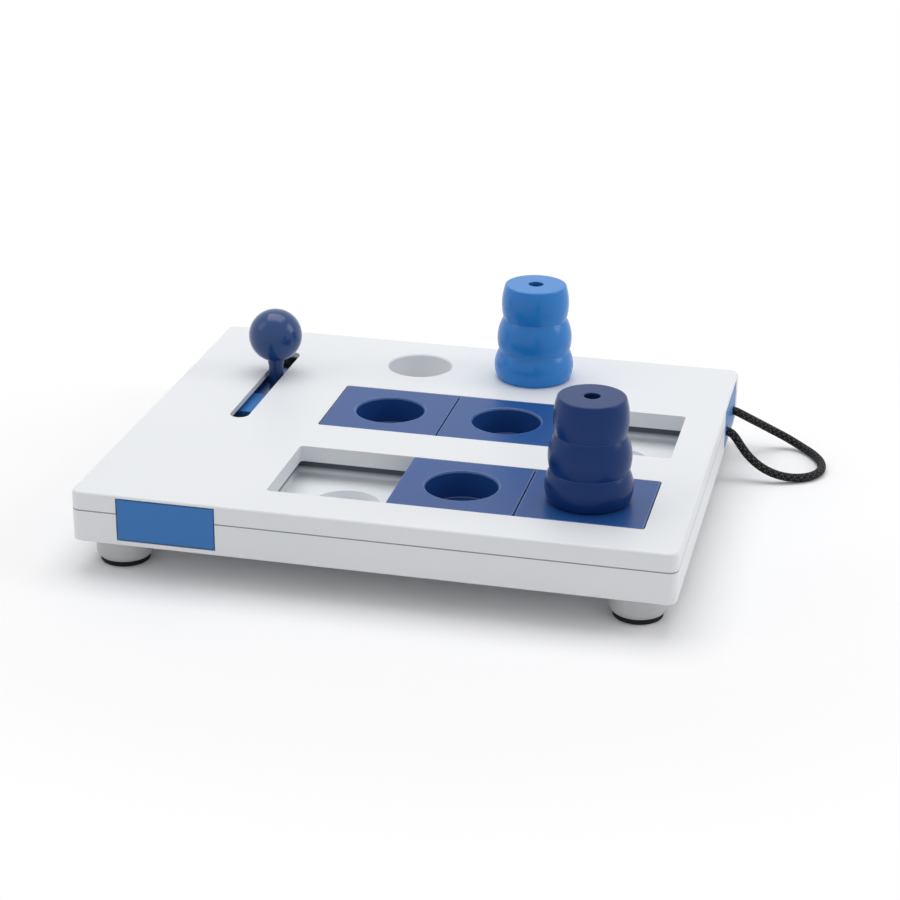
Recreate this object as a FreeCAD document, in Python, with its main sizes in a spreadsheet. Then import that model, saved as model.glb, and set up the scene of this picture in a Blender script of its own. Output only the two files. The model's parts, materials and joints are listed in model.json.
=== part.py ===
import FreeCAD, Part
import Sketcher
import math
import os
from FreeCAD import Placement, Rotation, Vector

# Dog puzzle feeder toy. Origin on the floor below the board's centre,
# +X to the right, +Y to the back, +Z up, all sizes in millimetres.

DRIVING_SIZES = [
    # Board: two shells on four feet
    ("board_width", 250.0),
    ("board_depth", 211.0),
    ("foot_height", 13.0),
    ("base_height", 14.0),
    ("cover_height", 8.0),
    ("wall", 2.6),
    ("floor_wall", 2.2),
    ("corner_radius", 4.0),
    ("top_rounding", 1.4),
    ("bottom_rounding", 0.9),
    ("lap_height", 2.0),
    ("lap_width", 1.2),
    ("lap_gap", 0.2),
    # Windows and the trays below them
    ("window_length", 156.0),
    ("window_width", 49.5),
    ("window_right_margin", 16.4),
    ("window_front_margin", 20.8),
    ("window_spacing", 25.45),
    ("window_corner", 1.5),
    ("rim_wall", 1.8),
    ("rim_depth", 7.0),
    ("tray_depth", 14.0),
    ("tray_wall", 1.6),
    ("tray_margin", 0.6),
    ("tray_headroom", 0.4),
    ("recess_radius", 14.5),
    ("recess_depth", 4.3),
    ("recess_wall", 1.2),
    # Sliding tiles
    ("tile_length", 52.4),
    ("tile_gap", 0.5),
    ("tile_side_gap", 0.2),
    ("tile_corner", 1.5),
    ("tile_lift", 0.3),
    ("tile_skin", 2.2),
    ("tile_skirt", 1.8),
    ("tile_edge", 0.4),
    ("flange_reach", 3.0),
    ("flange_thickness", 2.4),
    ("flange_gap", 0.4),
    ("tile_cup_radius", 15.2),
    ("tile_cup_depth", 12.0),
    ("tile_cup_floor", 1.4),
    # Cups in the cover
    ("cover_cup_radius", 14.8),
    ("cover_cup_depth", 12.5),
    ("cup_wall", 1.8),
    ("cup_chamfer", 0.6),
    ("rear_line_inset", 31.8),
    ("cup_inset", 26.1),
    ("cup_step", 54.2),
    # Lobed cones
    ("cone_height", 44.7),
    ("cone_foot_radius", 16.8),
    ("low_lobe_radius", 18.2),
    ("low_lobe_height", 5.2),
    ("low_crease_radius", 16.2),
    ("low_crease_height", 13.2),
    ("mid_lobe_radius", 17.1),
    ("mid_lobe_height", 20.4),
    ("high_crease_radius", 14.5),
    ("high_crease_height", 28.6),
    ("high_lobe_radius", 15.4),
    ("high_lobe_height", 36.6),
    ("crown_radius", 13.9),
    ("crown_wall", 2.4),
    ("crown_rounding", 0.8),
    ("scent_hole_radius", 3.5),
    ("spigot_radius", 14.4),
    ("spigot_depth", 10.0),
    ("cone_bore_radius", 12.4),
    ("cone_bore_draft", 0.6),
    ("cone_seat_gap", 0.1),
    # Drawers
    ("face_width", 41.4),
    ("face_height", 17.9),
    ("face_drop", 1.5),
    ("face_thickness", 2.4),
    ("face_overhang", 1.0),
    ("face_edge", 0.5),
    ("drawer_gap", 0.4),
    ("drawer_height", 14.9),
    ("drawer_wall", 1.6),
    ("rail_width", 1.6),
    ("rail_height", 9.0),
    ("stop_drop", 3.8),
    ("stop_width", 24.0),
    ("lever_line_inset", 40.9),
    ("push_gap", 0.2),
    ("push_block_length", 23.0),
    ("treat_room_length", 49.6),
    ("lever_drawer_travel", 50.0),
    ("rope_drawer_length", 72.6),
    ("knot_room_length", 10.6),
    ("rope_drawer_travel", 45.0),
    # Lever
    ("slot_width", 8.6),
    ("slot_end_flat", 0.02),
    ("slot_front_margin", 94.9),
    ("slot_back_margin", 29.7),
    ("lever_inset", 27.5),
    ("knob_radius", 12.25),
    ("knob_height", 18.2),
    ("neck_radius", 3.75),
    ("neck_length", 1.4),
    ("stem_radius", 3.4),
    ("tenon_radius", 2.4),
    ("tenon_length", 9.0),
    ("tenon_bore_depth", 9.9),
    ("socket_depth", 10.0),
    ("socket_wall", 2.2),
    ("snug_gap", 0.05),
    ("carriage_length", 34.4),
    # Feet and their rubber pads
    ("foot_inset_x", 16.9),
    ("foot_inset_y", 16.5),
    ("foot_radius", 12.2),
    ("foot_waist_radius", 11.9),
    ("foot_waist_height", 6.0),
    ("foot_round_radius", 11.6),
    ("foot_round_height", 3.8),
    ("foot_tip_radius", 10.7),
    ("peg_radius", 4.0),
    ("peg_length", 2.0),
    ("peg_gap", 0.15),
    ("pad_thickness", 2.5),
    ("pad_radius", 10.3),
    ("pad_edge", 0.7),
    ("pad_stud_radius", 3.0),
    ("pad_stud_length", 3.0),
    # Screws
    ("screw_head_radius", 3.0),
    ("screw_head_height", 1.9),
    ("screw_radius", 1.5),
    ("case_screw_length", 11.0),
    ("lever_screw_length", 9.0),
    ("cross_width", 0.9),
    ("cross_length", 3.6),
    ("cross_depth", 1.0),
    ("screw_hole_gap", 0.3),
    ("boss_radius", 3.5),
    ("boss_foot_radius", 4.6),
    ("boss_foot_height", 5.6),
    ("pilot_into_plate", 0.65),
    ("counterbore_depth", 2.9),
    ("left_screw_inset", 10.8),
    ("end_screw_inset", 8.7),
    ("side_screw_spread", 62.0),
    # Rope
    ("rope_radius", 2.0),
    ("rope_hole_radius", 2.5),
    ("knot_side_gap", 0.8),
    ("knot_face_gap", 0.7),
    ("rope_hole_height", 22.0),
    ("knot_radius", 4.5),
    ("knot_rounding", 1.7),
    ("knot_length", 8.2),
    ("knot_tail", 0.9),
]

# The rope's route from one knot to the other: down to the floor, round, and back up
ROPE_ROUTE = [
    (121.9, 60.9, 22.0),
    (125.3, 60.9, 22.0),
    (129.6, 60.4, 20.2),
    (133.0, 59.2, 15.6),
    (136.6, 57.6, 10.4),
    (142.4, 56.8, 5.6),
    (149.9, 57.9, 2.5),
    (158.4, 60.2, 2.0),
    (165.2, 65.0, 2.0),
    (168.4, 73.0, 2.0),
    (167.4, 82.2, 2.0),
    (163.2, 90.8, 2.0),
    (157.0, 98.2, 2.2),
    (149.6, 102.4, 4.8),
    (142.2, 101.4, 8.8),
    (136.6, 97.0, 13.4),
    (132.8, 91.8, 17.8),
    (129.4, 88.0, 20.8),
    (125.3, 86.5, 22.0),
    (121.9, 86.5, 22.0),
]

# Differences smaller than this count as none
TOLERANCE = 1e-3

doc = FreeCAD.newDocument("puzzle_feeder")
sheet = doc.addObject("Spreadsheet::Sheet", "sizes")
for row, (alias, number) in enumerate(DRIVING_SIZES, start=1):
    sheet.set(f"A{row}", alias)
    sheet.set(f"B{row}", str(number))
    sheet.setAlias(f"B{row}", alias)
doc.recompute()


class Size:
    """A length kept both as a number and as the formula of named sizes that gives it."""

    def __init__(self, text, number):
        self.text = text
        self.number = number

    def __add__(self, other):
        other = as_size(other)
        return Size(f"({self.text} + {other.text})", self.number + other.number)

    def __sub__(self, other):
        other = as_size(other)
        return Size(f"({self.text} - {other.text})", self.number - other.number)

    def __mul__(self, factor):
        return Size(f"({self.text} * {factor})", self.number * factor)

    def __truediv__(self, factor):
        return Size(f"({self.text} / {factor})", self.number / factor)

    def __neg__(self):
        return Size(f"(0 - {self.text})", -self.number)


def as_size(value):
    return value if isinstance(value, Size) else Size(str(value), float(value))


size = {alias: Size(f"sizes.{alias}", sheet.get(alias)) for alias, number in DRIVING_SIZES}


def bind(thing, prop, value):
    """Ties one property to the named sizes."""
    thing.setExpression(prop, as_size(value).text)


def place(thing, x, y, z, prefix="Placement"):
    for axis, value in zip("xyz", (x, y, z)):
        bind(thing, f"{prefix}.Base.{axis}", value)


# Heights that several pieces share
case_bottom = size["foot_height"]
parting = case_bottom + size["base_height"]
case_top = parting + size["cover_height"]
floor_top = case_bottom + size["floor_wall"]
plate_bottom = case_top - size["wall"]
rim_bottom = case_top - size["rim_depth"]
tray_top = case_top - size["tray_depth"]
tile_bottom = tray_top + size["tile_lift"]
face_top = case_top - size["face_drop"]
face_bottom = face_top - size["face_height"]
drawer_top = face_bottom + size["drawer_height"]
inner_width = size["board_width"] - size["wall"] * 2
inner_depth = size["board_depth"] - size["wall"] * 2
board_front = -size["board_depth"] / 2
board_back = size["board_depth"] / 2
board_right = size["board_width"] / 2
window_right = board_right - size["window_right_margin"]
window_left = window_right - size["window_length"]
window_middle = window_right - size["window_length"] / 2
front_window_line = board_front + size["window_front_margin"] + size["window_width"] / 2
rear_window_line = front_window_line + size["window_width"] + size["window_spacing"]
window_lines = [front_window_line, rear_window_line]
rear_line = board_back - size["rear_line_inset"]
left_cup = window_left + size["cup_inset"]
right_cup = left_cup + size["cup_step"]
lever_line = size["lever_line_inset"] - board_right
slot_front = board_front + size["slot_front_margin"]
slot_back = board_back - size["slot_back_margin"]
lever_place = slot_back - size["lever_inset"]
drawer_width = size["face_width"] - size["face_overhang"] * 2
channel_width = drawer_width + size["drawer_gap"] * 2
lever_drawer_front = board_front + size["face_thickness"]
lever_drawer_end = lever_place - size["carriage_length"] / 2 - size["push_gap"]
push_block_front = lever_drawer_end - size["push_block_length"]
knob_centre = case_top + size["knob_height"]
neck_bottom = knob_centre - size["knob_radius"] - size["neck_length"]
socket_bottom = drawer_top - size["socket_depth"]
rope_face_back = board_right - size["face_thickness"]
rope_drawer_back = rope_face_back - size["rope_drawer_length"] + size["face_thickness"]
rope_hole_spread = drawer_width / 2 - size["drawer_wall"] - size["knot_radius"] - size["knot_side_gap"]
tile_width = size["window_width"] - size["tile_side_gap"] * 2
tile_step = size["tile_length"] + size["tile_gap"]
screw_hole = size["screw_radius"] + size["screw_hole_gap"]
counterbore_radius = size["screw_head_radius"] + size["screw_hole_gap"]
counterbore_top = case_bottom + size["counterbore_depth"]
boss_foot_top = case_bottom + size["boss_foot_height"]
cup_places = [left_cup, right_cup]
cover_cup_floor = case_top - size["cover_cup_depth"]
foot_x = board_right - size["foot_inset_x"]
foot_y = board_back - size["foot_inset_y"]
foot_places = {
    "front_left": (-foot_x, -foot_y),
    "front_right": (foot_x, -foot_y),
    "rear_left": (-foot_x, foot_y),
    "rear_right": (foot_x, foot_y),
}
recess_places = [
    window_left + size["tile_gap"] + size["tile_length"] / 2,
    window_middle,
    window_right - size["tile_gap"] - size["tile_length"] / 2,
]
between_windows = (front_window_line + rear_window_line) / 2
tray_end_reach = size["rim_wall"] + size["tray_margin"] + size["tray_wall"]
channel_side = lever_line + channel_width / 2 + size["rail_width"]
beside_window = (channel_side + window_left - tray_end_reach) / 2
left_screw_line = size["left_screw_inset"] - board_right
right_screw_line = (window_right + tray_end_reach + board_right - size["wall"]) / 2
end_screw_line = board_back - size["end_screw_inset"]
screw_places = [
    (left_screw_line, -size["side_screw_spread"]),
    (left_screw_line, size["side_screw_spread"]),
    (right_screw_line, -size["side_screw_spread"]),
    (right_screw_line, rear_window_line),
    (window_middle, -end_screw_line),
    (window_middle, between_windows),
    (beside_window, between_windows),
    ((cup_places[0] + cup_places[1]) / 2, end_screw_line),
]


def new_body(name):
    body = doc.addObject("PartDesign::Body", name)
    body.Label = name
    return body


def new_sketch(body, role, x=0.0, y=0.0, z=0.0):
    """A sketch on one of the body's own planes, shifted along the plane's two axes and its normal."""
    plane = [item for item in body.Origin.OriginFeatures if item.Role == role][0]
    sketch = body.newObject("Sketcher::SketchObject", f"{body.Name}_sketch")
    sketch.AttachmentSupport = [(plane, "")]
    sketch.MapMode = "FlatFace"
    place(sketch, x, y, z, "AttachmentOffset")
    return sketch


def dimension(sketch, kind, *ends, value):
    """A distance or radius of the outline, tied to the named sizes."""
    value = as_size(value)
    index = sketch.addConstraint(Sketcher.Constraint(kind, *ends, value.number))
    sketch.setExpression(f"Constraints[{index}]", value.text)


def add_outline(sketch, corners, bulges=None):
    """A closed outline whose corners follow the named sizes. Side k is an arc if bulges has k."""
    bulges = bulges or {}
    ends = [Vector(as_size(a).number, as_size(b).number, 0) for a, b in corners]
    through = {k: Vector(as_size(a).number, as_size(b).number, 0) for k, (a, b) in bulges.items()}
    sides = []
    for k, start in enumerate(ends):
        stop = ends[(k + 1) % len(ends)]
        curve = Part.Arc(start, through[k], stop) if k in bulges else Part.LineSegment(start, stop)
        side = sketch.addGeometry(curve, False)
        forward = (sketch.getPoint(side, 1) - start).Length < (sketch.getPoint(side, 2) - start).Length
        sides.append((side, 1, 2) if forward else (side, 2, 1))
    for k, (side, near, far) in enumerate(sides):
        next_side, next_near = sides[(k + 1) % len(sides)][:2]
        sketch.addConstraint(Sketcher.Constraint("Coincident", side, far, next_side, next_near))
        dimension(sketch, "DistanceX", -1, 1, side, near, value=corners[k][0])
        dimension(sketch, "DistanceY", -1, 1, side, near, value=corners[k][1])
    for k, point in through.items():
        mark = sketch.addGeometry(Part.Point(point), True)
        dimension(sketch, "DistanceX", -1, 1, mark, 1, value=bulges[k][0])
        dimension(sketch, "DistanceY", -1, 1, mark, 1, value=bulges[k][1])
        sketch.addConstraint(Sketcher.Constraint("PointOnObject", mark, 1, sides[k][0]))


def add_rectangle(sketch, x, y, length, width):
    """A rectangle centred at x, y."""
    x, y, length, width = (as_size(v) for v in (x, y, length, width))
    left, right = x - length / 2, x + length / 2
    low, high = y - width / 2, y + width / 2
    add_outline(sketch, [(left, low), (right, low), (right, high), (left, high)])


def add_rounded_rectangle(sketch, x, y, length, width, radius):
    """A rectangle centred at x, y whose corners are quarter circles."""
    x, y, length, width, radius = (as_size(v) for v in (x, y, length, width, radius))
    half_x, half_y = length / 2, width / 2
    first = sketch.GeometryCount
    quarter = math.pi / 2
    for k, (sx, sy) in enumerate([(1, 1), (-1, 1), (-1, -1), (1, -1)]):
        centre_x = x + (half_x - radius) * sx
        centre_y = y + (half_y - radius) * sy
        centre = Vector(centre_x.number, centre_y.number, 0)
        circle = Part.Circle(centre, Vector(0, 0, 1), radius.number)
        arc = sketch.addGeometry(Part.ArcOfCircle(circle, k * quarter, (k + 1) * quarter), False)
        dimension(sketch, "DistanceX", -1, 1, arc, 3, value=centre_x)
        dimension(sketch, "DistanceY", -1, 1, arc, 3, value=centre_y)
        dimension(sketch, "Radius", arc, value=radius)
    for k in range(4):
        here, there = first + k, first + (k + 1) % 4
        line = Part.LineSegment(sketch.getPoint(here, 2), sketch.getPoint(there, 1))
        side = sketch.addGeometry(line, False)
        sketch.addConstraint(Sketcher.Constraint("Tangent", here, 2, side, 1))
        sketch.addConstraint(Sketcher.Constraint("Tangent", side, 2, there, 1))


def add_circle(sketch, x, y, radius):
    x, y, radius = (as_size(v) for v in (x, y, radius))
    circle = Part.Circle(Vector(x.number, y.number, 0), Vector(0, 0, 1), radius.number)
    index = sketch.addGeometry(circle, False)
    dimension(sketch, "DistanceX", -1, 1, index, 3, value=x)
    dimension(sketch, "DistanceY", -1, 1, index, 3, value=y)
    dimension(sketch, "Radius", index, value=radius)


def grow(body, sketch, length):
    """A pad along the sketch's normal."""
    pad = body.newObject("PartDesign::Pad", f"{body.Name}_pad")
    pad.Profile = sketch
    bind(pad, "Length", length)
    doc.recompute()


def sink(body, sketch, length, upwards=False):
    """A pocket against the sketch's normal, or along it. It has to take volume away."""
    before = body.Shape.Volume
    pocket = body.newObject("PartDesign::Pocket", f"{body.Name}_pocket")
    pocket.Profile = sketch
    pocket.Reversed = upwards
    bind(pocket, "Length", length)
    doc.recompute()
    if body.Shape.Volume > before - TOLERANCE:
        raise ValueError(f"{pocket.Name} takes nothing away from {body.Label}")


def turned_body(name, corners, bulges=None):
    """A body turned about its own upright axis, from corners given as radius and height."""
    body = new_body(name)
    sketch = new_sketch(body, "XZ_Plane")
    add_outline(sketch, corners, bulges)
    revolution = body.newObject("PartDesign::Revolution", f"{body.Name}_turn")
    revolution.Profile = sketch
    revolution.ReferenceAxis = (sketch, ["V_Axis"])
    revolution.Angle = 360
    doc.recompute()
    return body


def pad_boxes(body, boxes, low, high):
    """Upright blocks, each (x, y, length, width), from one height to another."""
    sketch = new_sketch(body, "XY_Plane", z=low)
    for box in boxes:
        add_rectangle(sketch, *box)
    grow(body, sketch, high - low)


def pad_rounds(body, rounds, low, high):
    """Upright cylinders, each (x, y, radius), from one height to another."""
    sketch = new_sketch(body, "XY_Plane", z=low)
    for circle in rounds:
        add_circle(sketch, *circle)
    grow(body, sketch, high - low)


def sink_boxes(body, boxes, low, high):
    sketch = new_sketch(body, "XY_Plane", z=high)
    for box in boxes:
        add_rectangle(sketch, *box)
    sink(body, sketch, high - low)


def sink_rounds(body, rounds, low, high):
    sketch = new_sketch(body, "XY_Plane", z=high)
    for circle in rounds:
        add_circle(sketch, *circle)
    sink(body, sketch, high - low)


def soften(body, kind, edges, amount):
    """A fillet or a chamfer on the body's edges that pass the test."""
    names = [f"Edge{n}" for n, edge in enumerate(body.Shape.Edges, start=1) if edges(edge)]
    if not names:
        raise ValueError(f"{body.Label} has no edge to soften")
    base = body.Tip
    feature = body.newObject(f"PartDesign::{kind}", f"{body.Name}_{kind.lower()}")
    feature.Base = (base, names)
    bind(feature, "Radius" if kind == "Fillet" else "Size", amount)
    doc.recompute()


def lies_at(edge, axis, value):
    """True where the whole edge lies at one coordinate: 0 is x, 1 is y and 2 is z."""
    box = edge.BoundBox
    low = (box.XMin, box.YMin, box.ZMin)[axis]
    high = (box.XMax, box.YMax, box.ZMax)[axis]
    number = as_size(value).number
    return abs(low - number) < TOLERANCE and abs(high - number) < TOLERANCE


def is_circle(edge, radius):
    return isinstance(edge.Curve, Part.Circle) and abs(edge.Curve.Radius - radius.number) < TOLERANCE


def soften_cup_edge(body, radius):
    """A chamfer round the mouth of each cup in the top face."""
    soften(body, "Chamfer", lambda edge: lies_at(edge, 2, case_top) and is_circle(edge, radius),
           size["cup_chamfer"])


def drawer_openings():
    """Where the two drawer faces come through the walls: centre, length and width of each."""
    gap = size["drawer_gap"]
    across = size["face_width"] + gap * 2
    reach = size["wall"] + gap
    return [
        (lever_line, board_front + reach / 2 - gap, across, reach),
        (board_right - reach / 2 + gap, rear_line, reach, across),
    ]


def make_top_cover():
    """White upper shell: plate, side wall, window rims, cups, slot, screw bosses and drawer stops."""
    body = new_body("top_cover")
    sketch = new_sketch(body, "XY_Plane", z=parting)
    add_rounded_rectangle(sketch, 0, 0, size["board_width"], size["board_depth"], size["corner_radius"])
    grow(body, sketch, size["cover_height"])
    soften(body, "Fillet", lambda edge: lies_at(edge, 2, case_top), size["top_rounding"])

    sketch = new_sketch(body, "XY_Plane", z=plate_bottom)
    inner_corner = size["corner_radius"] - size["wall"]
    add_rounded_rectangle(sketch, 0, 0, inner_width, inner_depth, inner_corner)
    sink(body, sketch, size["cover_height"] - size["wall"])

    lap = size["lap_width"] + size["lap_gap"]
    sketch = new_sketch(body, "XY_Plane", z=parting + size["lap_height"] + size["lap_gap"])
    rebate_corner = inner_corner + lap
    add_rounded_rectangle(sketch, 0, 0, inner_width + lap * 2, inner_depth + lap * 2, rebate_corner)
    sink(body, sketch, size["lap_height"] + size["lap_gap"])

    into_plate = plate_bottom + size["wall"] / 2
    rim = size["rim_wall"] * 2
    rims = [(window_middle, line, size["window_length"] + rim, size["window_width"] + rim)
            for line in window_lines]
    pad_boxes(body, rims, rim_bottom, into_plate)
    cup_outer = size["cover_cup_radius"] + size["cup_wall"]
    cups = [(x, rear_line, cup_outer) for x in cup_places]
    pad_rounds(body, cups, cover_cup_floor - size["cup_wall"], into_plate)
    pad_rounds(body, [(x, y, size["boss_radius"]) for x, y in screw_places], boss_foot_top, into_plate)

    half_gap = size["drawer_gap"] / 2
    stop_wall = size["drawer_wall"]
    lever_stop = push_block_front - size["lever_drawer_travel"] - half_gap - stop_wall / 2
    rope_stop = rope_drawer_back + stop_wall + size["rope_drawer_travel"] + half_gap + stop_wall / 2
    stops = [
        (lever_line, lever_stop, size["stop_width"], stop_wall),
        (rope_stop, rear_line, stop_wall, size["stop_width"]),
    ]
    pad_boxes(body, stops, plate_bottom - size["stop_drop"], into_plate)

    sketch = new_sketch(body, "XY_Plane", z=case_top)
    for line in window_lines:
        add_rounded_rectangle(sketch, window_middle, line, size["window_length"],
                              size["window_width"], size["window_corner"])
    sink(body, sketch, size["rim_depth"] + size["wall"])
    sink_rounds(body, [(x, rear_line, size["cover_cup_radius"]) for x in cup_places],
                cover_cup_floor, case_top)
    slot_length = slot_back - slot_front
    sketch = new_sketch(body, "XY_Plane", z=case_top)
    add_rounded_rectangle(sketch, lever_line, (slot_back + slot_front) / 2,
                          size["slot_width"], slot_length,
                          (size["slot_width"] - size["slot_end_flat"]) / 2)
    sink(body, sketch, size["wall"] * 2)
    pilots = [(x, y, size["screw_radius"] + size["snug_gap"]) for x, y in screw_places]
    sink_rounds(body, pilots, boss_foot_top, plate_bottom + size["pilot_into_plate"])
    sink_boxes(body, drawer_openings(), parting, face_top + size["drawer_gap"])
    soften_cup_edge(body, size["cover_cup_radius"])
    return body


def make_base_shell():
    """White lower shell: floor, side wall with a lap, drawer rails, screw bosses and foot holes."""
    body = new_body("base_shell")
    sketch = new_sketch(body, "XY_Plane", z=case_bottom)
    add_rounded_rectangle(sketch, 0, 0, size["board_width"], size["board_depth"], size["corner_radius"])
    grow(body, sketch, size["base_height"])
    soften(body, "Fillet", lambda edge: lies_at(edge, 2, case_bottom), size["bottom_rounding"])

    inner_corner = size["corner_radius"] - size["wall"]
    lap = size["lap_width"]
    sketch = new_sketch(body, "XY_Plane", z=parting - size["wall"])
    add_rounded_rectangle(sketch, 0, 0, inner_width + lap * 2, inner_depth + lap * 2, inner_corner + lap)
    grow(body, sketch, size["wall"] + size["lap_height"])
    sketch = new_sketch(body, "XY_Plane", z=parting + size["lap_height"])
    add_rounded_rectangle(sketch, 0, 0, inner_width, inner_depth, inner_corner)
    sink(body, sketch, size["base_height"] + size["lap_height"] - size["floor_wall"])

    rail_low = case_bottom + size["floor_wall"] / 2
    rail_top = floor_top + size["rail_height"]
    wall = size["wall"]
    rail = size["rail_width"]
    rail_offset = (channel_width + rail) / 2
    channel_front = board_front + wall / 2
    channel_back = -board_front - wall / 2
    rope_channel_end = rope_drawer_back - size["drawer_gap"]
    rope_middle = (rope_channel_end + board_right - wall / 2) / 2
    rope_rail_length = board_right - wall / 2 - rope_channel_end
    rails = [(lever_line + rail_offset * side, (channel_front + channel_back) / 2, rail,
              channel_back - channel_front) for side in (-1, 1)]
    rails += [(rope_middle, rear_line + rail_offset * side, rope_rail_length, rail)
              for side in (-1, 1)]
    pad_boxes(body, rails, rail_low, rail_top)
    end_stop = (rope_channel_end - rail / 2, rear_line, rail, channel_width + rail * 2)
    pad_boxes(body, [end_stop], rail_low, rail_top)
    pad_rounds(body, [(x, y, size["boss_foot_radius"]) for x, y in screw_places], rail_low, boss_foot_top)

    sink_rounds(body, [(x, y, screw_hole) for x, y in screw_places], case_bottom, boss_foot_top)
    sink_rounds(body, [(x, y, counterbore_radius) for x, y in screw_places], case_bottom, counterbore_top)
    peg_hole = size["peg_radius"] + size["peg_gap"]
    sink_rounds(body, [(x, y, peg_hole) for x, y in foot_places.values()], case_bottom, floor_top)
    sink_boxes(body, drawer_openings(), floor_top, parting + size["lap_height"])
    return body


def make_tray(name, line):
    """Sliding floor under one window: a plate with a fence and skirt, and three round treat recesses."""
    body = new_body(name)
    place(body, window_middle, line, 0)
    side_room = size["flange_reach"] + size["tray_margin"]
    end_room = size["rim_wall"] + size["tray_margin"]
    inside = (size["window_length"] + end_room * 2, size["window_width"] + side_room * 2)
    wall = size["tray_wall"]
    fence_top = plate_bottom - size["tray_headroom"]
    pad_boxes(body, [(0, 0, inside[0] + wall * 2, inside[1] + wall * 2)], floor_top, fence_top)
    sink_boxes(body, [(0, 0, *inside)], tray_top, fence_top)
    sketch = new_sketch(body, "XY_Plane", z=floor_top)
    add_rectangle(sketch, 0, 0, *inside)
    sink(body, sketch, tray_top - wall - floor_top, upwards=True)
    places = [x - window_middle for x in recess_places]
    recess_floor = tray_top - size["recess_depth"]
    outer = size["recess_radius"] + size["recess_wall"]
    pad_rounds(body, [(x, 0, outer) for x in places], recess_floor - size["recess_wall"], tray_top - wall / 2)
    sink_rounds(body, [(x, 0, size["recess_radius"]) for x in places], recess_floor, tray_top)
    return body


def make_tile(name, x, line):
    """Sliding tile: a hollow block with a blind cup, and flanges that run under the window's rims."""
    body = new_body(name)
    place(body, x, line, 0)
    sketch = new_sketch(body, "XY_Plane", z=tile_bottom)
    add_rounded_rectangle(sketch, 0, 0, size["tile_length"], tile_width, size["tile_corner"])
    grow(body, sketch, case_top - tile_bottom)
    soften(body, "Fillet", lambda edge: lies_at(edge, 2, case_top), size["tile_edge"])
    flange_top = rim_bottom - size["flange_gap"]
    across = tile_width + size["flange_reach"] * 2
    pad_boxes(body, [(0, 0, size["tile_length"] - size["tile_corner"] * 2, across)],
              flange_top - size["flange_thickness"], flange_top)
    skirt = size["tile_skirt"] * 2
    skin_bottom = case_top - size["tile_skin"]
    sink_boxes(body, [(0, 0, size["tile_length"] - skirt, tile_width - skirt)], tile_bottom, skin_bottom)
    cup_floor = case_top - size["tile_cup_depth"]
    pad_rounds(body, [(0, 0, size["tile_cup_radius"] + size["cup_wall"])],
               cup_floor - size["tile_cup_floor"], skin_bottom + size["tile_skin"] / 2)
    sink_rounds(body, [(0, 0, size["tile_cup_radius"])], cup_floor, case_top)
    soften_cup_edge(body, size["tile_cup_radius"])
    return body


def make_cone(name, x, line):
    """Hollow cone of three lobes with a scent hole in its crown and a spigot that sits in a round cup."""
    seat = size["spigot_depth"]
    crown = seat + size["cone_height"] - size["cone_seat_gap"]
    bore_top = crown - size["crown_wall"]
    bore_narrow = size["cone_bore_radius"] - size["cone_bore_draft"]
    corners = [
        (size["cone_foot_radius"], seat),
        (size["low_crease_radius"], seat + size["low_crease_height"]),
        (size["high_crease_radius"], seat + size["high_crease_height"]),
        (size["crown_radius"], crown),
        (size["scent_hole_radius"], crown),
        (size["scent_hole_radius"], bore_top),
        (bore_narrow, bore_top),
        (size["cone_bore_radius"], 0),
        (size["spigot_radius"], 0),
        (size["spigot_radius"], seat),
    ]
    lobes = [
        (size["low_lobe_radius"], seat + size["low_lobe_height"]),
        (size["mid_lobe_radius"], seat + size["mid_lobe_height"]),
        (size["high_lobe_radius"], seat + size["high_lobe_height"]),
    ]
    body = turned_body(name, corners, dict(enumerate(lobes)))
    place(body, x, line, case_top + size["cone_seat_gap"] - size["spigot_depth"])
    soften(body, "Fillet", lambda edge: is_circle(edge, size["crown_radius"]), size["crown_rounding"])
    return body


def add_cylinder(name, radius, low, high, x, y):
    cylinder = doc.addObject("Part::Cylinder", name)
    bind(cylinder, "Radius", radius)
    bind(cylinder, "Height", high - low)
    place(cylinder, x, y, low)
    return cylinder


def combine(kind, name, base, tool):
    """Joins two objects or cuts one from the other."""
    result = doc.addObject(f"Part::{kind}", name)
    result.Label = name
    result.Base = base
    result.Tool = tool
    return result


def make_lever_knob():
    """Ball with a short neck and a blind bore for the stem's tenon."""
    spot = (lever_line, lever_place)
    ball = doc.addObject("Part::Sphere", "knob_ball")
    bind(ball, "Radius", size["knob_radius"])
    place(ball, *spot, knob_centre)
    neck = add_cylinder("knob_neck", size["neck_radius"], neck_bottom, knob_centre, *spot)
    bore_radius = size["tenon_radius"] + size["snug_gap"]
    bore = add_cylinder("knob_bore", bore_radius, neck_bottom, neck_bottom + size["tenon_bore_depth"], *spot)
    solid = combine("Fuse", "knob_with_neck", ball, neck)
    return combine("Cut", "lever_knob", solid, bore)


def make_lever_stem():
    """Round stem from the carriage's socket to the knob, with a tenon above and a pilot hole below."""
    pilot = size["screw_radius"] + size["snug_gap"]
    shoulder = neck_bottom - socket_bottom
    tip = shoulder + size["tenon_length"]
    pilot_top = size["lever_screw_length"]
    body = turned_body("lever_stem", [
        (pilot, 0),
        (size["stem_radius"], 0),
        (size["stem_radius"], shoulder),
        (size["tenon_radius"], shoulder),
        (size["tenon_radius"], tip),
        (0, tip),
        (0, pilot_top),
        (pilot, pilot_top),
    ])
    place(body, lever_line, lever_place, socket_bottom)
    return body


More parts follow.
